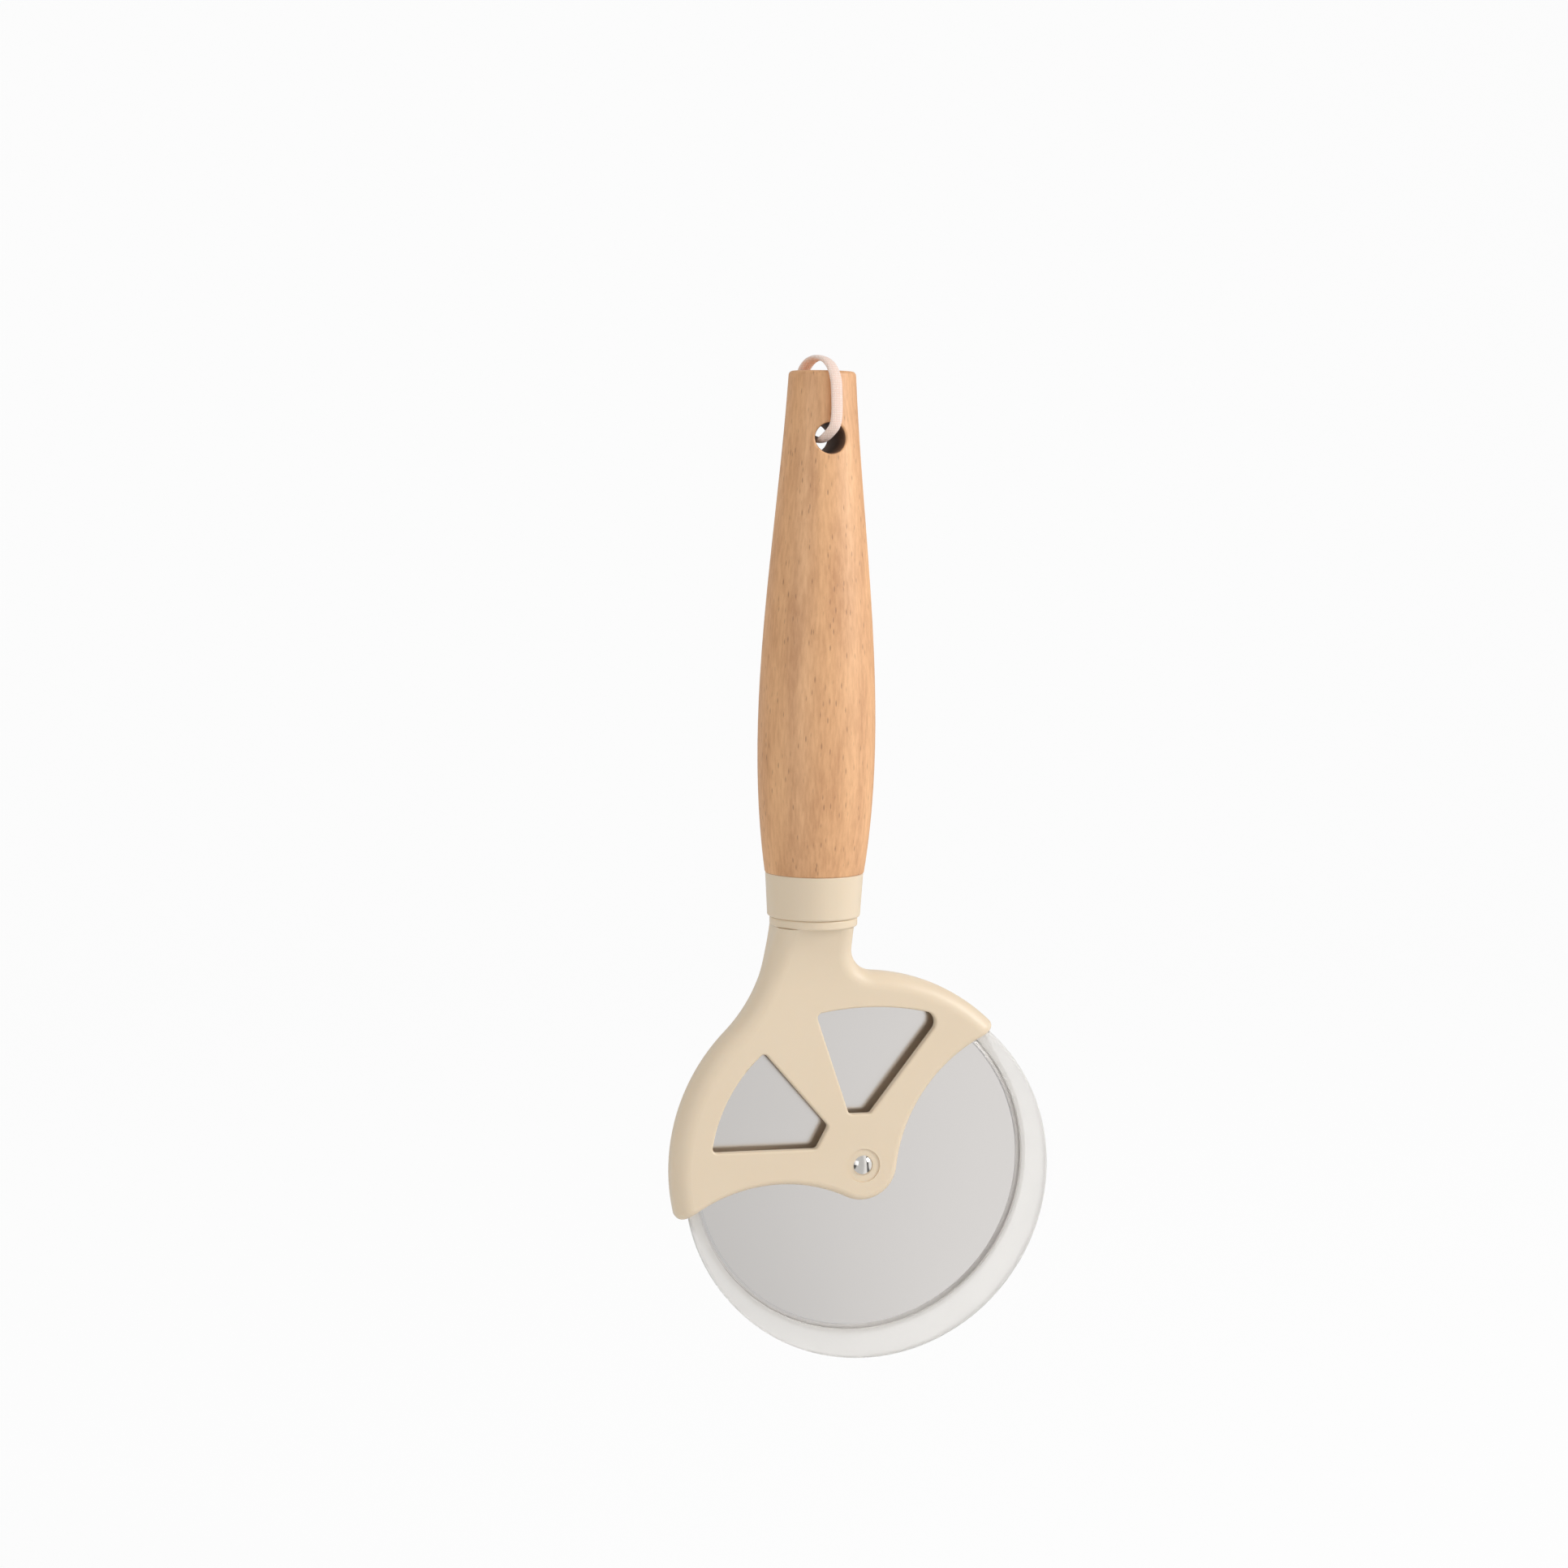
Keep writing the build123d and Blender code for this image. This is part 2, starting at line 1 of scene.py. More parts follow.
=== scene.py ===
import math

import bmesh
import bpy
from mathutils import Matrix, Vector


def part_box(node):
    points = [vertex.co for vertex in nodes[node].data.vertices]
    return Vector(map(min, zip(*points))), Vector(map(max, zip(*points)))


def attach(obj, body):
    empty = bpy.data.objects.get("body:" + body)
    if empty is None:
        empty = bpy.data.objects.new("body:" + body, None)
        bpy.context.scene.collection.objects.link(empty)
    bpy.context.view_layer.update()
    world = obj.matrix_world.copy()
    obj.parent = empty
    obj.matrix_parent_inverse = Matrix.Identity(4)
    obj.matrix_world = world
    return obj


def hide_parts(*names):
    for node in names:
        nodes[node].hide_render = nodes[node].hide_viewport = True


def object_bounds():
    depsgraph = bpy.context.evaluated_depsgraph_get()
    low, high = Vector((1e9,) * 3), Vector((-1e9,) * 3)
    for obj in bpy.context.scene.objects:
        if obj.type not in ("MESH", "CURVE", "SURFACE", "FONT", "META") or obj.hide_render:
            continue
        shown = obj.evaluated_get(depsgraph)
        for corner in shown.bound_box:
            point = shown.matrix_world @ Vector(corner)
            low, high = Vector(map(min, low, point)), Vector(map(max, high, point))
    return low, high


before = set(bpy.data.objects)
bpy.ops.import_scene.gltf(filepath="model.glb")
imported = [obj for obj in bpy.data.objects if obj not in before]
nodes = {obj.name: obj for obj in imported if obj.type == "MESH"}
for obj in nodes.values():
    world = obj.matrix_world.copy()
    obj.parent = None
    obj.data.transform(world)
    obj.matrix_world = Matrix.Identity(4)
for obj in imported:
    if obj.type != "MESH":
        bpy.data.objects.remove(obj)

# %% [markdown]
# # A pizza cutter wheel
#
# The tool is a steel wheel in a split plastic frame, under a turned beech handle with a
# hang hole and a strap. Its hard pieces come ready made in the frame file, one object
# each, already in place and in metres. This script gives every one of them its finish,
# makes the soft strap anew, and sets the floor, the lights and the camera round them.
#
# The first cell keeps the box of the frame's pieces.

MM = 0.001

frame_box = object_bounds()
print("pieces:", sorted(nodes))
print("size in mm:", [round(side / MM, 1) for side in frame_box[1] - frame_box[0]])

# %% [markdown]
# ## Camera
#
# The camera stands a little to the left of the tool's front and a little above its
# middle. It could be placed by eye, but three angles and one place say it exactly: the
# direction that it looks from, its height above the horizon, and the small roll that
# tips the handle. A camera looks along its own -Z, so its three axes go into the columns
# of one matrix.

# %% Camera


def turned_camera(azimuth, elevation, roll):
    """The camera's axes as a matrix, from three angles in degrees."""
    a, e, r = (math.radians(angle) for angle in (azimuth, elevation, roll))
    back = Vector((math.sin(a) * math.cos(e), -math.cos(a) * math.cos(e), math.sin(e)))
    right = Vector((math.cos(a), math.sin(a), 0))
    up = back.cross(right)
    tipped_right = right * math.cos(r) + up * math.sin(r)
    tipped_up = up * math.cos(r) - right * math.sin(r)
    return Matrix((tipped_right, tipped_up, back)).transposed().to_4x4()


camera_place = (-0.18255, -0.65685, -0.0096)
camera_axes = turned_camera(azimuth=-14.93, elevation=5.72, roll=0.88)
lens_data = bpy.data.cameras.new("camera")
lens_data.sensor_width = 36
lens_data.lens = 69.48
lens_data.clip_start = 10 * MM
camera = bpy.data.objects.new("camera", lens_data)
bpy.context.scene.collection.objects.link(camera)
camera.matrix_world = Matrix.Translation(camera_place) @ camera_axes
bpy.context.scene.camera = camera
bpy.context.scene.view_settings.view_transform = "Standard"
print("field of view in degrees:", round(math.degrees(lens_data.angle), 1))

# %% [markdown]
# ## Materials from nodes
#
# Every finish below is a small net of nodes that ends in one Principled shader. Typing
# each node out by hand takes four lines, so this cell makes two helpers: one starts a
# material and the other adds a node and sets or links its inputs by name. Colours are
# written as they are seen on a screen, from 0 to 255, and turned into the linear values
# that the shader works with.

# %% Helpers that make nodes
SCREEN_WHITE = 255


def seen(red, green, blue):
    """A linear colour from the values seen on a screen, by the sRGB standard's curve."""
    def linear(value):
        share = value / SCREEN_WHITE
        return share / 12.92 if share <= 0.04045 else ((share + 0.055) / 1.055) ** 2.4
    return (linear(red), linear(green), linear(blue), 1)


def plug(tree, socket, value):
    """Links a socket to another one, or sets its value."""
    if isinstance(value, bpy.types.NodeSocket):
        tree.links.new(value, socket)
    else:
        socket.default_value = value


def add(tree, kind, settings=None, **inputs):
    """Adds a node. Inputs go by name, or by number as in0, in1 and so on."""
    made = tree.nodes.new("ShaderNode" + kind)
    for name, value in (settings or {}).items():
        setattr(made, name, value)
    for name, value in inputs.items():
        numbered = name.startswith("in") and name[2:].isdigit()
        key = int(name[2:]) if numbered else name.replace("_", " ")
        plug(tree, made.inputs[key], value)
    return made


def new_finish(name):
    """A material with an empty Principled shader. Returns it, its tree and the shader."""
    material = bpy.data.materials.new(name)
    material.use_nodes = True
    tree = material.node_tree
    tree.nodes.clear()
    shader = add(tree, "BsdfPrincipled")
    add(tree, "OutputMaterial", Surface=shader.outputs["BSDF"])
    return material, tree, shader


print("mid grey as the shader sees it:", round(seen(128, 128, 128)[0], 3))

# %% [markdown]
# ## Patterns and sums
#
# A surface comes alive through patterns: noise that says where it is darker, rougher or
# deeper. The helpers below each add one step of such a pattern, so that a finish reads
# as a few plain lines. Places are in metres, and so a pattern of scale 1000 changes about
# once in each millimetre.

# %% Helpers that make patterns
RISING = (0.0, 1.0)
FALLING = (1.0, 0.0)


def stretched(tree, scale=(1, 1, 1), centre=(0, 0, 0)):
    """The piece's own coordinates about a centre, scaled along each axis."""
    place = add(tree, "TexCoord").outputs["Object"]
    moved = add(tree, "VectorMath", {"operation": "SUBTRACT"}, in0=place, in1=centre)
    scaled = add(tree, "VectorMath", {"operation": "MULTIPLY"}, in0=moved.outputs[0], in1=scale)
    return scaled.outputs[0]


def noise(tree, vector, scale, detail=2.0, roughness=0.5):
    """A soft random pattern from 0 to 1."""
    made = add(tree, "TexNoise", Vector=vector, Scale=scale, Detail=detail, Roughness=roughness)
    return made.outputs["Fac"]


def between(tree, value, old, new=RISING):
    """Spreads a range of a value over a new range, smoothly at both ends."""
    return add(tree, "MapRange", {"interpolation_type": "SMOOTHSTEP"}, Value=value,
               From_Min=old[0], From_Max=old[1], To_Min=new[0], To_Max=new[1]).outputs["Result"]


def blended(tree, factor, first, second):
    """One colour where the factor is 0 and another where it is 1."""
    return add(tree, "Mix", {"data_type": "RGBA"}, in0=factor, in6=first, in7=second).outputs[2]


def maths(tree, operation, first, second):
    """Two values added, multiplied or compared."""
    return add(tree, "Math", {"operation": operation}, in0=first, in1=second).outputs[0]


def relief(tree, height, depth, strength=0.5, under=None):
    """A bump of a given depth in metres, on top of another one if there is one."""
    made = add(tree, "Bump", Height=height, Distance=depth, Strength=strength)
    if under is not None:
        tree.links.new(under, made.inputs["Normal"])
    return made.outputs["Normal"]


pattern_helpers = (stretched, noise, between, blended, maths, relief)
print("pattern helpers:", [helper.__name__ for helper in pattern_helpers])

# %% [markdown]
# ## Floor and backdrop
#
# The tool hangs from its hole over a plain pale floor, high enough for its guard to slide
# off below it. One sheet that curves up behind the tool, as in a photographer's studio,
# leaves no line where floor and wall meet. It is one edge, extruded along its path, so
# that a bevel can round its corner.

# %% Floor and backdrop
merge_distance = 1e-7
nearness = 1e-6
floor_drop = 0.08
floor_z = frame_box[0].z - floor_drop
room_side = 3.0
wall_y = 1.6
corner_reach = 0.6
corner_steps = 16


def mesh_object(name, shape):
    """Puts a finished bmesh into a new object at the origin and smooths it."""
    bmesh.ops.remove_doubles(shape, verts=shape.verts, dist=merge_distance)
    bmesh.ops.recalc_face_normals(shape, faces=shape.faces)
    for face in shape.faces:
        face.smooth = True
    mesh = bpy.data.meshes.new(name)
    shape.to_mesh(mesh)
    shape.free()
    made = bpy.data.objects.new(name, mesh)
    bpy.context.scene.collection.objects.link(made)
    return made


def in_corner(vertex):
    """Whether a vertex lies on the line where the floor meets the wall."""
    return abs(vertex.co.y - wall_y) < nearness and abs(vertex.co.z - floor_z) < nearness


sweep = bmesh.new()
front_row = [sweep.verts.new((x, -room_side, floor_z)) for x in (-room_side, room_side)]
edge = sweep.edges.new(front_row)
for step in ((0, room_side + wall_y, 0), (0, 0, room_side)):
    grown = bmesh.ops.extrude_edge_only(sweep, edges=[edge])["geom"]
    moved = [item for item in grown if isinstance(item, bmesh.types.BMVert)]
    bmesh.ops.translate(sweep, verts=moved, vec=step)
    edge = next(item for item in grown
                if isinstance(item, bmesh.types.BMEdge) and set(item.verts) == set(moved))
corner = [item for item in sweep.edges if all(in_corner(vertex) for vertex in item.verts)]
bmesh.ops.bevel(sweep, geom=corner, offset=corner_reach, segments=corner_steps, profile=0.5,
                affect="EDGES", material=-1)
studio_floor = mesh_object("studio_floor", sweep)
print("floor under the tool in mm:", round(floor_drop / MM),
      "in", len(studio_floor.data.polygons), "faces")

# %% [markdown]
# ## The room in the metal
#
# Polished metal shows the room itself. In an all-white room it would look like white
# paint, so metal meets a room that grows brighter from left to right, with a dark strip
# before its lit right side and another far on the left. The ranges below are shares of
# the way to the right, from -1 to 1. One function says how bright the room is in any
# direction, and both the floor and the sky behind it use it. The other function picks
# out the rays that should meet plain white.

# %% What each ray meets
room_brightens = (0.05, 0.42)
room_levels = (0.65, 1.0)
right_strip_starts = (0.54, 0.62)
right_strip_ends = (0.76, 0.84)
left_strip_ends = (-0.85, -0.7)
strip_level = 0.12


def white_where_seen(tree):
    """1 for rays from the camera and for those that metal and clear plastic send on."""
    ray = add(tree, "LightPath").outputs
    seen_or_mirrored = maths(tree, "MAXIMUM", ray["Is Camera Ray"], ray["Is Glossy Ray"])
    return maths(tree, "MAXIMUM", seen_or_mirrored, ray["Is Transmission Ray"])


def where_mirrored(tree, plain_level, direction):
    """A plain level, but for what metal mirrors the room's own level in a direction."""
    sideways = add(tree, "SeparateXYZ", Vector=direction).outputs["X"]
    rising = between(tree, sideways, room_brightens, room_levels)
    right_strip = maths(tree, "MULTIPLY", between(tree, sideways, right_strip_starts),
                        between(tree, sideways, right_strip_ends, FALLING))
    left_strip = between(tree, sideways, left_strip_ends, FALLING)
    strips = maths(tree, "MAXIMUM", right_strip, left_strip)
    room = maths(tree, "MULTIPLY", rising, between(tree, strips, RISING, (1.0, strip_level)))
    mirrored = add(tree, "LightPath").outputs["Is Glossy Ray"]
    return add(tree, "Mix", {"data_type": "FLOAT"}, in0=mirrored, in2=plain_level,
               in3=room).outputs[0]


wheel_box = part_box("wheel")
axle = (wheel_box[0] + wheel_box[1]) / 2
print("the room is measured from the axle, in mm:", [round(value / MM, 1) for value in axle])

# %% [markdown]
# ## Paper of the floor
#
# The floor is matt paper. Lit by the lamps alone it would come out grey, and stronger
# lamps would burn out the tool. So it adds white light of its own where the camera looks
# at it, but keeps part of its plain surface, and the tool's soft shadow still shows.

# %% Floor paper
full_white = 1.0
paper_glow_share = 0.93
paper_grey = (0.80, 0.80, 0.80, 1)
paper_white = (0.82, 0.82, 0.82, 1)

paper = bpy.data.materials.new("paper")
paper.use_nodes = True
tree = paper.node_tree
tree.nodes.clear()
grain = noise(tree, stretched(tree), scale=160)
plain = add(tree, "BsdfDiffuse", Color=blended(tree, grain, paper_grey, paper_white))
from_axle = add(tree, "VectorMath", {"operation": "NORMALIZE"},
                in0=stretched(tree, centre=tuple(axle)))
floor_level = where_mirrored(tree, full_white, from_axle.outputs[0])
glow = add(tree, "Emission", Color=(1, 1, 1, 1), Strength=floor_level)
share = maths(tree, "MULTIPLY", white_where_seen(tree), paper_glow_share)
mixed = add(tree, "MixShader", in0=share, in1=plain.outputs[0], in2=glow.outputs[0])
add(tree, "OutputMaterial", Surface=mixed.outputs[0])
studio_floor.data.materials.append(paper)
print("paper on", studio_floor.name, "with", len(tree.nodes), "nodes")

# %% [markdown]
# ## Lights
#
# The photograph's light is soft and comes from far round on the right: only the right
# third of the handle is nearly white, and the rest is an even middle brown. A large area
# light there does that, a weak one on the left keeps the shaded side open, and the pale
# world fills in the rest. The size of a light is what makes a shadow soft, so the two are
# close to real soft boxes.

# %% Lights
room_light = 0.66

world = bpy.data.worlds.new("pale_room")
bpy.context.scene.world = world
world.use_nodes = True
tree = world.node_tree
tree.nodes.clear()
plain_level = between(tree, white_where_seen(tree), RISING, (room_light, full_white))
level = where_mirrored(tree, plain_level, add(tree, "TexCoord").outputs["Generated"])
sky = add(tree, "Background", Color=(1, 1, 1, 1), Strength=level)
add(tree, "OutputWorld", Surface=sky.outputs[0])

tool_middle = (frame_box[0] + frame_box[1]) / 2


def soft_box(name, place, side, watts):
    """A square area light that faces the middle of the tool."""
    data = bpy.data.lights.new(name, "AREA")
    data.shape, data.size, data.energy = "SQUARE", side, watts
    made = bpy.data.objects.new(name, data)
    bpy.context.scene.collection.objects.link(made)
    facing = (Vector(place) - tool_middle).to_track_quat("Z", "Y")
    made.matrix_world = Matrix.Translation(place) @ facing.to_matrix().to_4x4()
    print(name, "in mm from the tool's middle:", round((Vector(place) - tool_middle).length / MM))


soft_box("key_right", place=(0.95, -0.55, 0.45), side=0.5, watts=7.8)
soft_box("fill_left", place=(-0.9, -0.7, 0.1), side=0.7, watts=1.6)

# %% [markdown]
# ## Figure of the beech
#
# Beech is pale and pinkish, with faint bands where the years' rings come to the surface.
# A picture of wood would stop at the edges of the turned shape, while a pattern in the
# wood's own space runs through it, as in real wood. So the same noise is stretched along
# Z once for the fine pores and once for broad clouds of tone, and waves make the rings.
# Their shares add up to one tone between a pale and a darker wood.

# %% Beech figure
ring_share = 0.18
cloud_share = 0.42
pore_share = 0.40
pore_stretch = (1, 1, 0.16)
cloud_stretch = (1, 1, 0.25)
ring_stretch = (1, 0.4, 0.06)
middle_tones = (0.3, 0.7)
pale_beech = seen(240, 185, 131)
deep_beech = seen(200, 143, 94)

beech, tree, shader = new_finish("beech")
pores = noise(tree, stretched(tree, pore_stretch), scale=1500, detail=3.0, roughness=0.65)
clouds = noise(tree, stretched(tree, cloud_stretch), scale=190, detail=3.0, roughness=0.6)
rings = add(tree, "TexWave", {"wave_type": "BANDS", "bands_direction": "X"},
            Vector=stretched(tree, ring_stretch), Scale=60.0, Distortion=7.0, Detail=2.0,
            Detail_Scale=1.2).outputs["Fac"]
ring_tone = maths(tree, "MULTIPLY", rings, ring_share)
cloud_tone = maths(tree, "MULTIPLY", between(tree, clouds, middle_tones), cloud_share)
tone = maths(tree, "ADD", ring_tone, cloud_tone)
pore_tone = maths(tree, "MULTIPLY", between(tree, pores, middle_tones), pore_share)
tone = maths(tree, "ADD", tone, pore_tone)
wood_colour = blended(tree, tone, pale_beech, deep_beech)
print("figure of", beech.name, "has", len(tree.nodes), "nodes")

# %% [markdown]
# ## Flecks, bore and skin of the beech
#
# Many short brown flecks lie along the grain. They are the middles of long thin cells,
# and a broader noise leaves some of them out. The wall of the hang hole is darker: it is
# painted shade for the dark deep in the hole, and the distance from the hole's axis decides.
# The flecks also go into the relief, since a fleck is a shallow dent, and the wall of the
# hole goes into the gloss, since a drilled wall is rough.

# %% Beech flecks, bore and skin
bore_radius = 3.4 * MM
bore_edge = (bore_radius + 0.05 * MM, bore_radius + 0.25 * MM)
# Painted shade in the hang hole: its wall turns a deep brown near the hole's axis.
bore_shade_strength = 0.8
bore_shade_brown = seen(74, 42, 22)
fleck_stretch = (1, 1, 0.22)
fleck_reach = (0.06, 0.26)
group_stretch = (1, 1, 0.2)
group_edge = (0.36, 0.50)
fleck_darkness = 0.6
fleck_brown = seen(140, 92, 54)
WITHOUT_Y = (1, 0, 1)
most_tones = (0.2, 0.8)
beech_roughness = (0.48, 0.60)

cells = add(tree, "TexVoronoi", Vector=stretched(tree, fleck_stretch), Scale=1150.0,
            Randomness=1.0)
fleck = between(tree, cells.outputs["Distance"], fleck_reach, FALLING)
fleck_groups = noise(tree, stretched(tree, group_stretch), scale=420, detail=1.0)
fleck = maths(tree, "MULTIPLY", fleck, between(tree, fleck_groups, group_edge))
fleck_tone = maths(tree, "MULTIPLY", fleck, fleck_darkness)
wood_colour = blended(tree, fleck_tone, wood_colour, fleck_brown)
# Painted shade: the nearer a point lies to the hang hole's axis, the darker brown it gets.
bore_reach = add(tree, "VectorMath", {"operation": "LENGTH"},
                 in0=stretched(tree, WITHOUT_Y)).outputs["Value"]
bore_shade_mask = between(tree, bore_reach, bore_edge, (bore_shade_strength, 0.0))
wood_colour = blended(tree, bore_shade_mask, wood_colour, bore_shade_brown)
plug(tree, shader.inputs["Base Color"], wood_colour)
sanded = between(tree, pores, most_tones, beech_roughness)
plug(tree, shader.inputs["Roughness"], maths(tree, "MAXIMUM", sanded, bore_shade_mask))
shader.inputs["Specular IOR Level"].default_value = 1.0
pore_relief = relief(tree, pores, depth=0.04 * MM)
raised = maths(tree, "SUBTRACT", 1.0, fleck)
plug(tree, shader.inputs["Normal"], relief(tree, raised, depth=0.06 * MM, under=pore_relief))


def dress(finish, *names):
    """Gives the frame's own pieces a finish, in the material slots that they have."""
    for name in names:
        slots = nodes[name].data.materials
        for place in range(len(slots)):
            slots[place] = finish
    print(finish.name, "on", ", ".join(names))


dress(beech, "handle")

# %% [markdown]
# ## Cream plastic
#
# The frame, the ferrule and the neck ring are moulded in a warm cream plastic with a
# satin skin. Such a plastic lets a little light in below its surface, which softens its
# shadows, so the shader gets some subsurface. The mould leaves a very fine grain, and
# handling leaves patches that shine a little more.

# %% Cream plastic finish
light_cream = seen(231, 213, 187)
warm_cream = seen(227, 208, 181)
cream_roughness = (0.36, 0.46)

cream, tree, shader = new_finish("cream_plastic")
patches = noise(tree, stretched(tree), scale=45, detail=3.0)
skin = noise(tree, stretched(tree), scale=2600)
plug(tree, shader.inputs["Base Color"], blended(tree, patches, light_cream, warm_cream))
plug(tree, shader.inputs["Roughness"], between(tree, patches, middle_tones, cream_roughness))
shader.inputs["Subsurface Weight"].default_value = 0.15
shader.inputs["Subsurface Radius"].default_value = (1.0, 0.7, 0.45)
shader.inputs["Subsurface Scale"].default_value = 1.5 * MM
plug(tree, shader.inputs["Normal"], relief(tree, skin, depth=0.01 * MM))
dress(cream, "frame_front", "frame_back", "ferrule", "neck_ring")

# %% [markdown]
# ## Steel of the wheel
#
# The wheel is satin steel. Its faces were polished while it turned, which leaves fine
# rings about the axle, and its edge was ground on both sides. One distance does both: how
# far a point lies from the axle. Noise read along that distance alone gives the rings,
# and past the start of the ground edge the steel is a little brighter and rougher.

# %% Wheel steel finish
wheel_radius = (wheel_box[1].x - wheel_box[0].x) / 2
grind_width = 2 * MM
grind_blur = 0.1 * MM
grind_start = (wheel_radius - grind_width - grind_blur, wheel_radius - grind_width + grind_blur)
grind_roughness = 0.08
satin_roughness = (0.17, 0.24)
light_steel = (0.755, 0.73, 0.71, 1)
grey_steel = (0.73, 0.705, 0.685, 1)
ground_steel = (0.78, 0.76, 0.75, 1)

wheel_steel, tree, shader = new_finish("wheel_steel")
flat = stretched(tree, WITHOUT_Y, tuple(axle))
reach = add(tree, "VectorMath", {"operation": "LENGTH"}, in0=flat).outputs["Value"]
along = add(tree, "CombineXYZ", X=reach).outputs[0]
turning = noise(tree, along, scale=5200, detail=3.0, roughness=0.7)
sheen_patches = noise(tree, stretched(tree), scale=28)
ground = between(tree, reach, grind_start)
steel_colour = blended(tree, sheen_patches, light_steel, grey_steel)
steel_colour = blended(tree, ground, steel_colour, ground_steel)
plug(tree, shader.inputs["Base Color"], steel_colour)
shader.inputs["Metallic"].default_value = 1.0
turned_gloss = between(tree, turning, most_tones, satin_roughness)
ground_gloss = maths(tree, "MULTIPLY", ground, grind_roughness)
plug(tree, shader.inputs["Roughness"], maths(tree, "ADD", turned_gloss, ground_gloss))
turning_marks = relief(tree, turning, depth=0.004 * MM, strength=0.4)
plug(tree, shader.inputs["Normal"], turning_marks)
dress(wheel_steel, "wheel")
print("wheel across in mm:", round(2 * wheel_radius / MM, 1))

# %% [markdown]
# ## Small metal and inner pieces
#
# The rivet is polished and plated, the screws, nut and washers are zinc plated, and the
# insert in the wood is brass. These metals differ only in colour, gloss and the size of
# their marks, so one function makes them all.

# %% Metal finishes
spot_tones = (0.25, 0.75)


def metal(name, first, second, roughness, grain_scale, grain_depth):
    """A metal between two colours, with its own range of roughness and its marks."""
    material, tree, shader = new_finish(name)
    spots = noise(tree, stretched(tree), grain_scale, detail=3.0)
    plug(tree, shader.inputs["Base Color"], blended(tree, spots, first, second))
    plug(tree, shader.inputs["Roughness"], between(tree, spots, spot_tones, roughness))
    shader.inputs["Metallic"].default_value = 1.0
    plug(tree, shader.inputs["Normal"], relief(tree, spots, grain_depth))
    return material


chrome = metal("bright_chrome", first=(0.80, 0.775, 0.74, 1), second=(0.72, 0.695, 0.66, 1),
               roughness=(0.05, 0.12), grain_scale=900, grain_depth=0.003 * MM)
zinc = metal("zinc_plate", first=(0.62, 0.63, 0.65, 1), second=(0.52, 0.53, 0.55, 1),
             roughness=(0.28, 0.40), grain_scale=1400, grain_depth=0.006 * MM)
brass = metal("turned_brass", first=(0.74, 0.55, 0.25, 1), second=(0.66, 0.47, 0.20, 1),
              roughness=(0.25, 0.35), grain_scale=1400, grain_depth=0.006 * MM)
dress(chrome, "axle_rivet")
dress(zinc, "axle_sleeve", "rivet_washer", "wheel_bush", "neck_nut", "neck_washer", "tang_stud",
      "frame_screw_left", "frame_screw_right")
dress(brass, "tang_insert")

# %% [markdown]
# ## Spacers
#
# Two thin rings keep the wheel's bush off the frame, one on each side. They are plain
# slippery plastic, nearly white, and a faint haze in it varies the tone and the gloss.

# %% Spacer finish
spacer_white = seen(240, 240, 236)
spacer_grey = seen(228, 228, 224)
spacer_roughness = (0.38, 0.5)

slippery, tree, shader = new_finish("slippery_plastic")
haze = noise(tree, stretched(tree), scale=600)
plug(tree, shader.inputs["Base Color"], blended(tree, haze, spacer_white, spacer_grey))
plug(tree, shader.inputs["Roughness"], between(tree, haze, middle_tones, spacer_roughness))
dress(slippery, "spacer_front", "spacer_back")

# %% [markdown]
# ## Frosted guard
#
# The guard over the wheel's free edge is a frosted, nearly clear plastic. Clear
# plastic bends light, and its rough skin scatters it, so the shader gets both
# transmission and a high roughness, and a share of plain white that stands for the milk
# in the plastic. Real plastic bends light by 1.49, but its walls here are thin and milky,
# and a lower value keeps them from turning dark where the light would be caught inside.

# %% Guard finish
clear_white = seen(251, 249, 246)
milky_white = seen(246, 244, 241)
frost_roughness = (0.45, 0.6)

frosted, tree, shader = new_finish("frosted_plastic")
haze = noise(tree, stretched(tree), scale=130, detail=3.0)
skin = noise(tree, stretched(tree), scale=1800)
plug(tree, shader.inputs["Base Color"], blended(tree, haze, clear_white, milky_white))
plug(tree, shader.inputs["Roughness"], between(tree, haze, middle_tones, frost_roughness))
shader.inputs["Transmission Weight"].default_value = 0.6
shader.inputs["IOR"].default_value = 1.2
plug(tree, shader.inputs["Normal"], relief(tree, skin, depth=0.02 * MM))
dress(frosted, "blade_guard")

# %% [markdown]
# ## A tape from a curve
#
# The strap is a narrow woven tape. It could be bent out of a flat strip, but a tape that
# keeps its width along a path is just what a curve with an oval for its bevel makes. The
# oval and the path are both NURBS curves, which run inside their control points, so the
# oval's points stand a little further out than the tape's edges. The curve becomes a
# mesh at the end, because a finished piece has its shape in its mesh.

# %% Helpers that make a tape
oval_points = 8
oval_spread = (1.1, 1.15)


def in_scene(name, data):
    """A new object in the scene that holds the data."""
    made = bpy.data.objects.new(name, data)
    bpy.context.scene.collection.objects.link(made)
    return made


def oval_section(name, width, thickness):
    """A flat closed curve, the tape's cross-section."""
    oval = bpy.data.curves.new(name, "CURVE")
    oval.dimensions = "2D"
    ring = oval.splines.new("NURBS")
    ring.points.add(oval_points - 1)
    for number, point in enumerate(ring.points):
        turn = 2 * math.pi * number / oval_points
        point.co = (width / 2 * math.cos(turn) * oval_spread[0],
                    thickness / 2 * math.sin(turn) * oval_spread[1], 0, 1)
    ring.use_cyclic_u = True
    ring.order_u = 4
    return in_scene(name, oval)


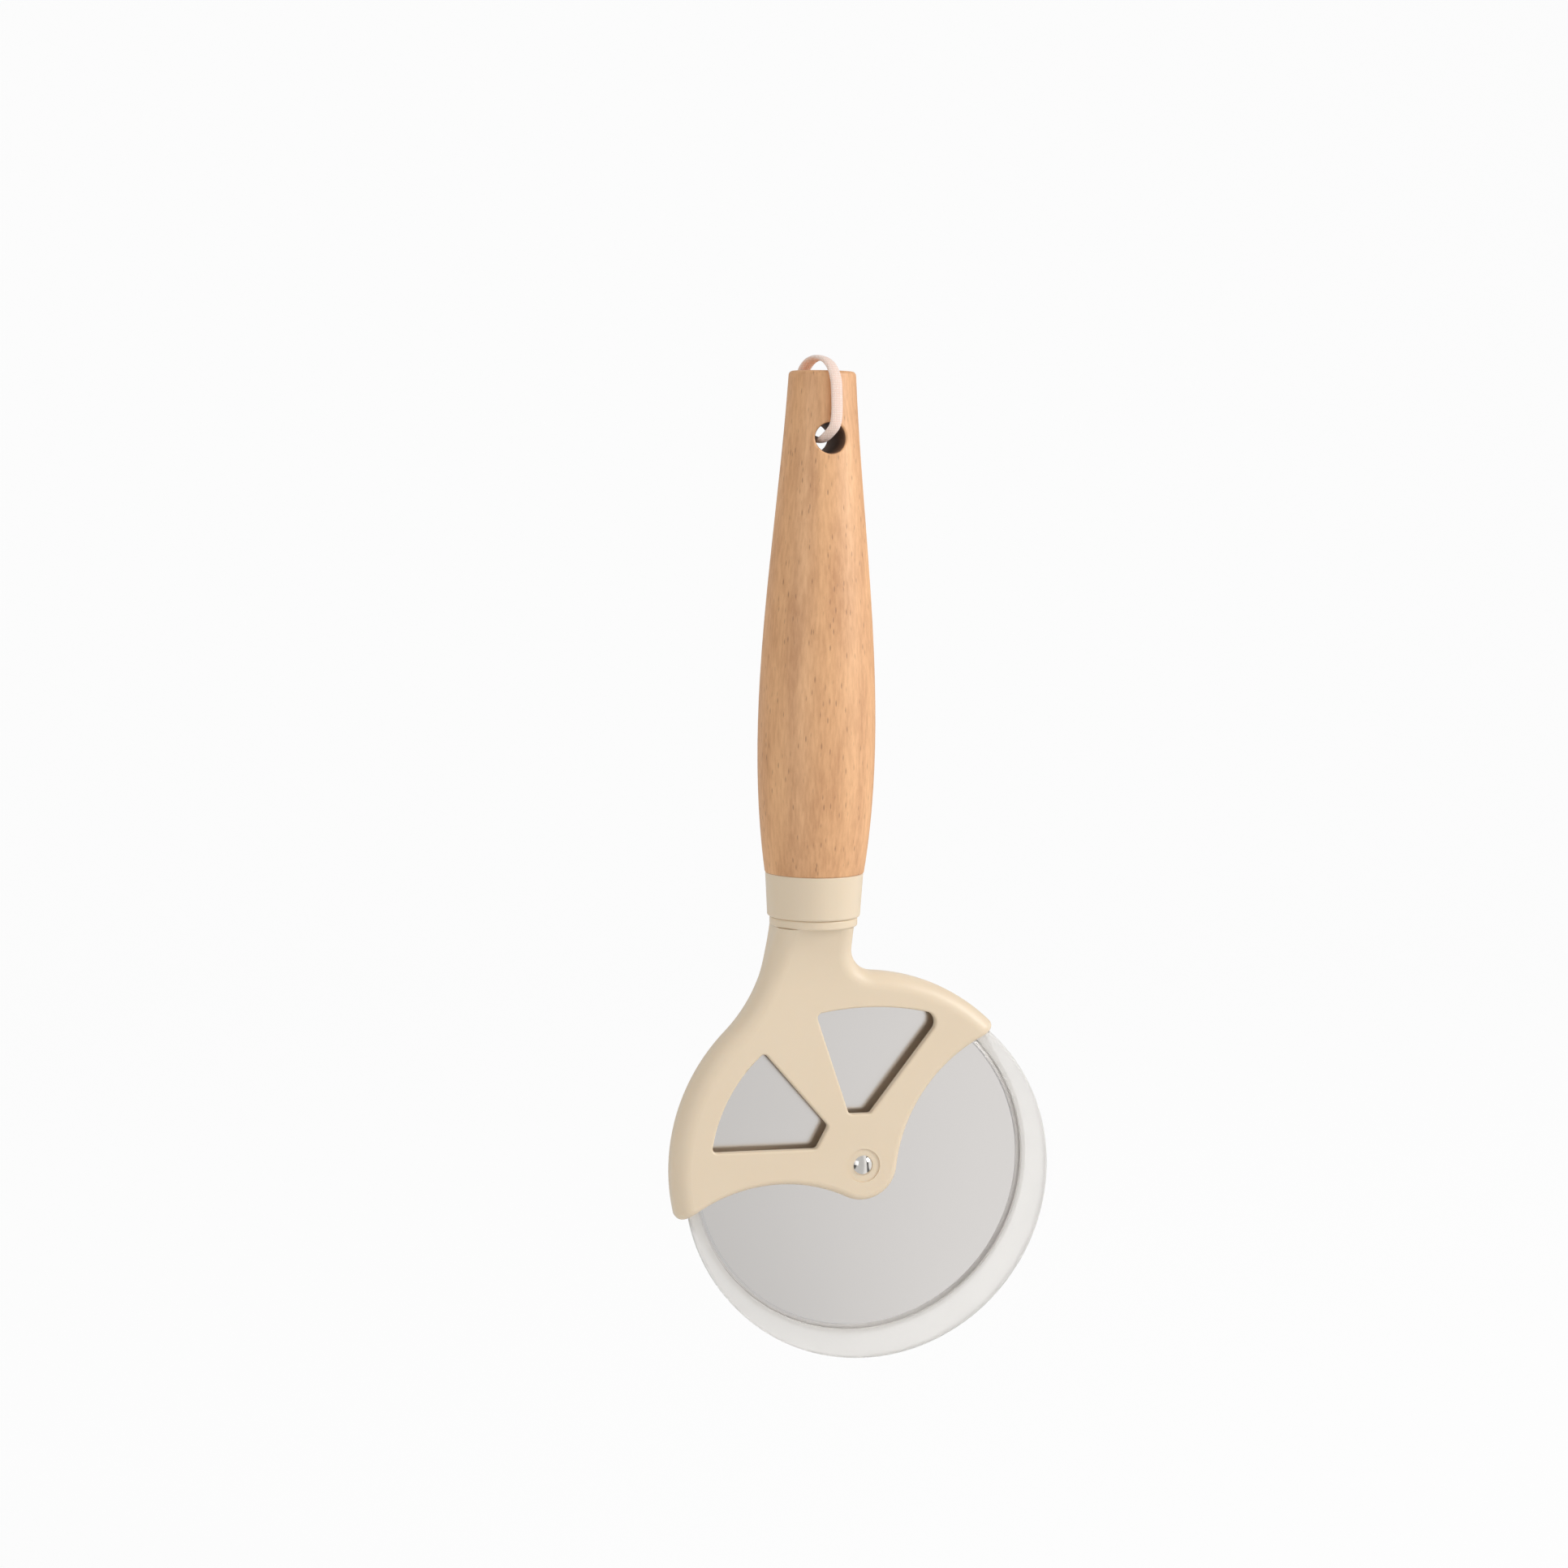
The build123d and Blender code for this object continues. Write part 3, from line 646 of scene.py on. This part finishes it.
def tape_along(name, points, width, thickness):
    """A closed tape of an oval section that follows points given in millimetres."""
    section = oval_section(name + "_oval", width, thickness)
    line = bpy.data.curves.new(name + "_line", "CURVE")
    line.dimensions = "3D"
    spline = line.splines.new("NURBS")
    spline.points.add(len(points) - 1)
    for point, place in zip(spline.points, points):
        point.co = (*(value * MM for value in place), 1)
    spline.use_cyclic_u = True
    spline.order_u = 3
    spline.resolution_u = 10
    line.bevel_mode = "OBJECT"
    line.bevel_object = section
    line.twist_mode = "MINIMUM"
    carrier = in_scene(name + "_line", line)
    bpy.context.view_layer.update()
    ready = carrier.evaluated_get(bpy.context.evaluated_depsgraph_get())
    mesh = bpy.data.meshes.new_from_object(ready)
    for helper in (carrier, section):
        bpy.data.objects.remove(helper)
    mesh.name = name
    return in_scene(name, mesh)


print("the tape's section has", oval_points, "control points")

# %% [markdown]
# ## Hang strap
#
# The tape comes out of the hang hole, goes up the front, over the end of the handle and
# down the back, a little askew, and closes on itself inside the hole.

# %% Hang strap
tape_width = 3.0 * MM
tape_thickness = 1.2 * MM
strap_path = [
    (-1.5, -2.6, -0.5), (-1.3, -5.6, -0.5), (-0.4, -7.8, 0.9), (0.6, -9.3, 2.6),
    (0.9, -9.5, 5.2), (0.9, -9.1, 9.6), (0.7, -8.7, 13.8), (0.0, -5.4, 17.0),
    (-1.1, 0.0, 18.1), (-2.0, 5.4, 17.0), (-2.6, 8.6, 13.8), (-2.5, 9.0, 9.6),
    (-2.3, 9.5, 5.2), (-2.0, 9.3, 2.6), (-1.8, 7.4, 0.9), (-1.6, 3.6, 0.2),
]
woven_strap = tape_along("woven_strap", strap_path, tape_width, tape_thickness)
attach(woven_strap, "holder")
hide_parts("hang_strap")
print("strap mesh:", len(woven_strap.data.polygons), "faces, UV maps",
      [layer.name for layer in woven_strap.data.uv_layers])

# %% [markdown]
# ## Strap finish
#
# The tape is woven of fine yarns that cross each other. Two sets of waves stand for
# them, and their product is high only where both yarns rise, which gives the small knots
# of a weave. Loose fibres on cotton catch the light at its edges, so the shader gets
# some sheen, and some subsurface because light passes through thin cloth.

# %% Strap finish
# Painted shade: the gaps between the yarns' knots get a darker pink.
yarn_gap_shade = seen(234, 206, 192)
yarn_white = seen(249, 228, 217)
cloth_roughness = (0.7, 0.85)


def yarns(tree, place, direction, scale):
    """Waves for yarns that lie side by side along one axis."""
    return add(tree, "TexWave", {"wave_type": "BANDS", "bands_direction": direction},
               Vector=place, Scale=scale, Distortion=0.4, Detail=1.0).outputs["Fac"]


tape_cloth, tree, shader = new_finish("tape_cloth")
place = stretched(tree)
threads = yarns(tree, place, "X", scale=700.0)
picks = yarns(tree, place, "Z", scale=620.0)
weave = maths(tree, "MULTIPLY", threads, picks)
fuzz = noise(tree, place, scale=2400)
# The tape is a darker pink where the weave is low, as painted shade between the knots.
plug(tree, shader.inputs["Base Color"], blended(tree, weave, yarn_gap_shade, yarn_white))
plug(tree, shader.inputs["Roughness"], between(tree, fuzz, middle_tones, cloth_roughness))
shader.inputs["Sheen Weight"].default_value = 0.25
shader.inputs["Subsurface Weight"].default_value = 0.35
shader.inputs["Subsurface Radius"].default_value = (1.0, 0.8, 0.7)
shader.inputs["Subsurface Scale"].default_value = 2 * MM
plug(tree, shader.inputs["Normal"], relief(tree, weave, depth=0.12 * MM))
woven_strap.data.materials.clear()
woven_strap.data.materials.append(tape_cloth)
print(tape_cloth.name, "on", woven_strap.name, "with", len(tree.nodes), "nodes")
